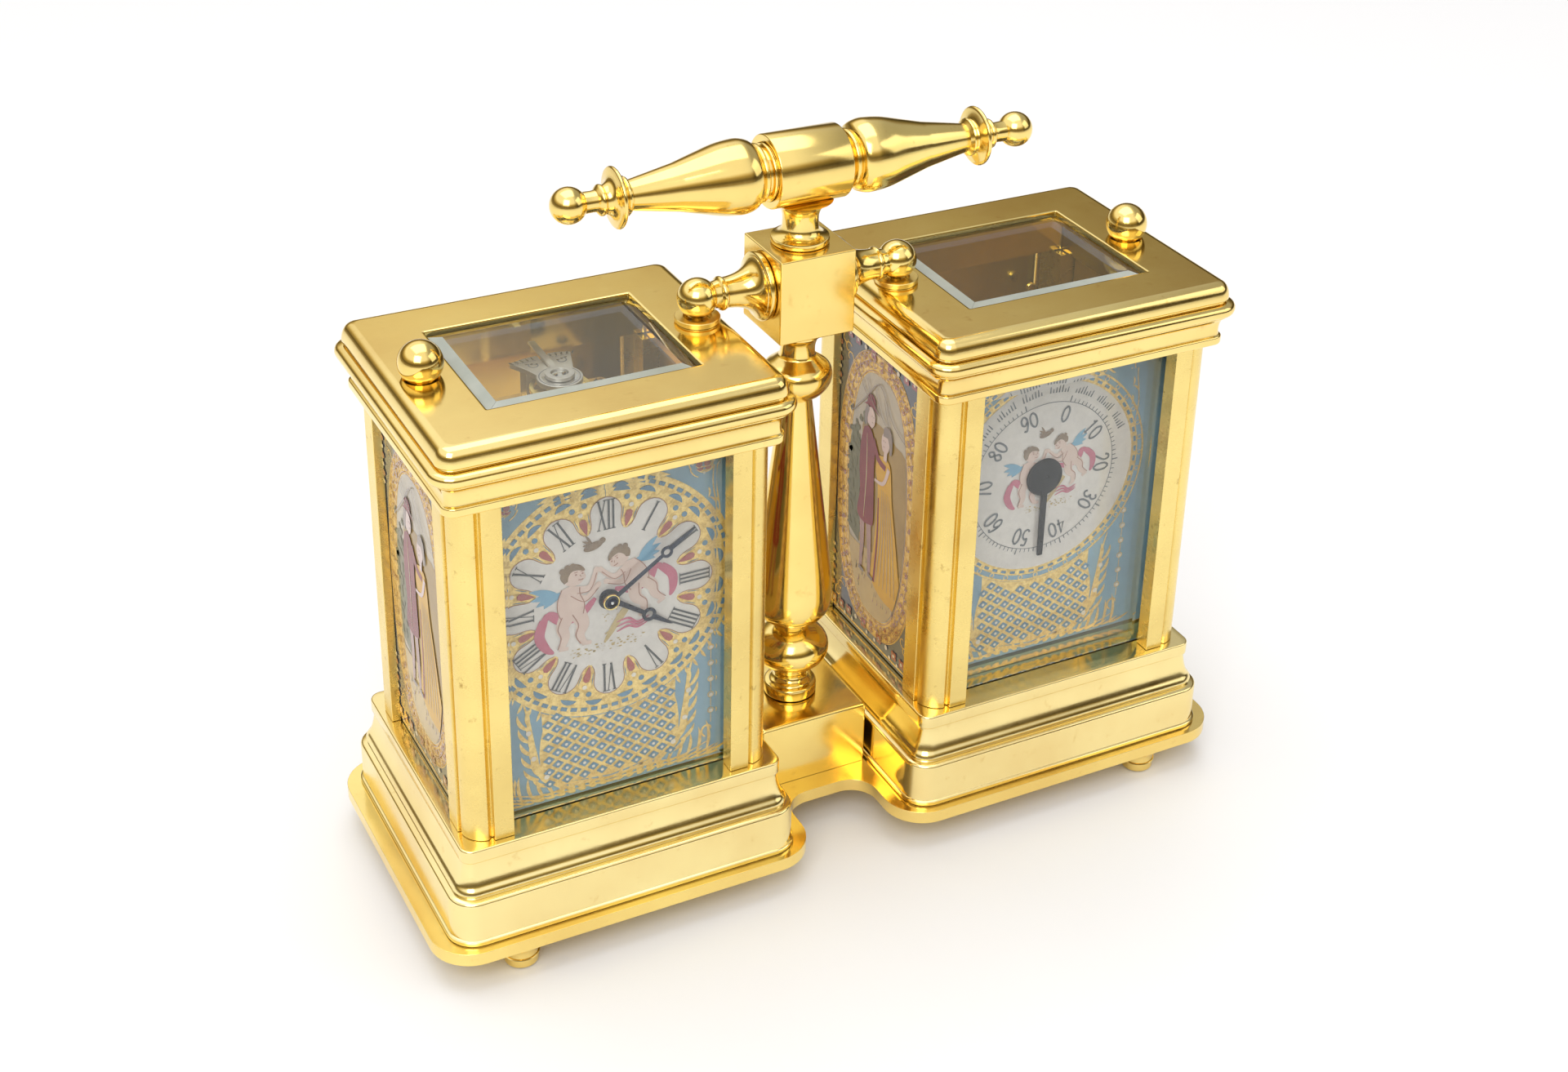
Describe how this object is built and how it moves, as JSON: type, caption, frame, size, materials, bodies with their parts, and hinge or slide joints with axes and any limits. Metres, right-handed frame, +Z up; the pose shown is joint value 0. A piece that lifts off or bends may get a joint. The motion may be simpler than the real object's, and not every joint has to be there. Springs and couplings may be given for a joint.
{
  "type": "carriage clock",
  "caption": "Desk set of a small carriage clock and a matching hygrometer in gilt brass cases on a waisted base, joined by a turned pillar with a T-shaped carrying handle.",
  "frame": {"origin": "on the ground under the middle of the set, at the bottom centre of its bounding box", "axes": "+X to the right as seen from the front, from the clock to the hygrometer; +Y to the back, where the doors are; +Z up"},
  "size_m": [0.1252, 0.0474, 0.1054],
  "materials": {
    "gilt_brass": "polished and lacquered",
    "movement_brass": "satin",
    "steel": "satin",
    "blued_steel": "dark blued, polished",
    "black_paint": "satin black",
    "porcelain": "glazed, painted and gilded",
    "glass": "clear, bevelled",
    "coil_metal": "thin strip with a paper face"
  },
  "bodies": {
    "stand": {"base_plate": "gilt_brass", "foot_front_left": "gilt_brass", "foot_front_right": "gilt_brass", "foot_back_left": "gilt_brass", "foot_back_right": "gilt_brass", "centre_block": "gilt_brass", "pillar": "gilt_brass", "pillar_cube": "gilt_brass", "arm_left": "gilt_brass", "arm_right": "gilt_brass", "washer_left": "movement_brass", "washer_right": "movement_brass", "handle_tee": "gilt_brass", "grip_left": "gilt_brass", "grip_right": "gilt_brass", "finial_left": "gilt_brass", "finial_right": "gilt_brass", "clock_case_base": "gilt_brass", "clock_post_front_left": "gilt_brass", "clock_post_front_right": "gilt_brass", "clock_post_back_left": "gilt_brass", "clock_post_back_right": "gilt_brass", "clock_case_top": "gilt_brass", "clock_top_glass": "glass", "clock_front_glass": "glass", "clock_left_panel": "porcelain", "clock_right_panel": "porcelain", "hygrometer_case_base": "gilt_brass", "hygrometer_post_front_left": "gilt_brass", "hygrometer_post_front_right": "gilt_brass", "hygrometer_post_back_left": "gilt_brass", "hygrometer_post_back_right": "gilt_brass", "hygrometer_case_top": "gilt_brass", "hygrometer_top_glass": "glass", "hygrometer_front_glass": "glass", "hygrometer_left_panel": "porcelain", "hygrometer_right_panel": "porcelain", "clock_dial": "porcelain", "movement_front_plate": "movement_brass", "movement_back_plate": "movement_brass", "platform_plate": "steel", "balance_cock": "steel", "hygrometer_dial": "porcelain", "humidity_coil": "coil_metal"},
    "clock_door": {"clock_door_frame": "gilt_brass", "clock_door_glass": "glass"},
    "hygrometer_door": {"hygrometer_door": "gilt_brass"},
    "minute_hand": {"minute_hand": "blued_steel"},
    "hour_hand": {"hour_hand": "blued_steel"},
    "minute_wheel": {"minute_wheel": "movement_brass"},
    "mainspring_barrel": {"mainspring_barrel": "movement_brass"},
    "winding_arbor": {"winding_arbor": "steel"},
    "centre_wheel": {"centre_wheel": "movement_brass"},
    "third_wheel": {"third_wheel": "movement_brass"},
    "contrate_wheel": {"contrate_wheel": "movement_brass"},
    "escape_wheel": {"escape_wheel": "steel"},
    "pallet_lever": {"pallet_lever": "steel"},
    "balance_wheel": {"balance_wheel": "movement_brass"},
    "regulator_index": {"regulator_index": "steel"},
    "hygrometer_needle": {"hygrometer_needle": "black_paint"}
  },
  "joints": [
    {"name": "contrate_spin", "type": "hinge", "parent": "stand", "child": "contrate_wheel", "pos_m": [-0.0347, -0.003, 0.05926], "axis": [0, 1, 0], "continuous": true},
    {"name": "third_spin", "type": "hinge", "parent": "stand", "child": "third_wheel", "pos_m": [-0.04106, 0, 0.05686], "axis": [0, 1, 0], "continuous": true},
    {"name": "centre_spin", "type": "hinge", "parent": "stand", "child": "centre_wheel", "pos_m": [-0.0347, 0, 0.0505], "axis": [0, 1, 0], "continuous": true},
    {"name": "barrel_spin", "type": "hinge", "parent": "stand", "child": "mainspring_barrel", "pos_m": [-0.0347, -0.002, 0.04], "axis": [0, 1, 0], "continuous": true},
    {"name": "escape_spin", "type": "hinge", "parent": "stand", "child": "escape_wheel", "pos_m": [-0.0347, -0.0054, 0.069], "axis": [0, 0, 1], "continuous": true},
    {"name": "lever_swing", "type": "hinge", "parent": "stand", "child": "pallet_lever", "pos_m": [-0.0344, -0.0017, 0.069], "axis": [0, 0, 1], "range_deg": [-5, 5]},
    {"name": "balance_swing", "type": "hinge", "parent": "stand", "child": "balance_wheel", "pos_m": [-0.034, 0.0026, 0.071], "axis": [0, 0, 1], "range_deg": [-150, 150], "stiffness_Nm_per_rad": 0.00000095},
    {"name": "regulator_swing", "type": "hinge", "parent": "stand", "child": "regulator_index", "pos_m": [-0.034, 0.0026, 0.074], "axis": [0, 0, 1], "range_deg": [-30, 30]},
    {"name": "hand_setting", "type": "hinge", "parent": "stand", "child": "minute_hand", "pos_m": [-0.0347, -0.013, 0.0505], "axis": [0, 1, 0], "continuous": true},
    {"name": "minute_wheel_spin", "type": "hinge", "parent": "stand", "child": "minute_wheel", "pos_m": [-0.03089, -0.0115, 0.0483], "axis": [0, 1, 0], "continuous": true},
    {"name": "hour_hand_spin", "type": "hinge", "parent": "stand", "child": "hour_hand", "pos_m": [-0.0347, -0.013, 0.0505], "axis": [0, 1, 0], "continuous": true},
    {"name": "winding_spin", "type": "hinge", "parent": "stand", "child": "winding_arbor", "pos_m": [-0.0347, 0.005, 0.04], "axis": [0, 1, 0], "continuous": true},
    {"name": "clock_door_hinge", "type": "hinge", "parent": "stand", "child": "clock_door", "pos_m": [-0.0494, 0.0181, 0.0457], "axis": [0, 0, 1], "range_deg": [0, 95]},
    {"name": "hygrometer_door_hinge", "type": "hinge", "parent": "stand", "child": "hygrometer_door", "pos_m": [0.0494, 0.0181, 0.0457], "axis": [0, 0, -1], "range_deg": [0, 95]},
    {"name": "needle_swing", "type": "hinge", "parent": "stand", "child": "hygrometer_needle", "pos_m": [0.0347, -0.008, 0.0505], "axis": [0, 1, 0], "range_deg": [-162, 162], "stiffness_Nm_per_rad": 0.00002}
  ],
  "couplings": [
    {"joint": "third_spin", "follows": "contrate_spin", "ratio": -0.13333},
    {"joint": "centre_spin", "follows": "contrate_spin", "ratio": 0.016667},
    {"joint": "barrel_spin", "follows": "contrate_spin", "ratio": -0.0027778},
    {"joint": "escape_spin", "follows": "contrate_spin", "ratio": 6},
    {"joint": "minute_wheel_spin", "follows": "hand_setting", "ratio": -0.33333},
    {"joint": "hour_hand_spin", "follows": "hand_setting", "ratio": 0.083333}
  ]
}
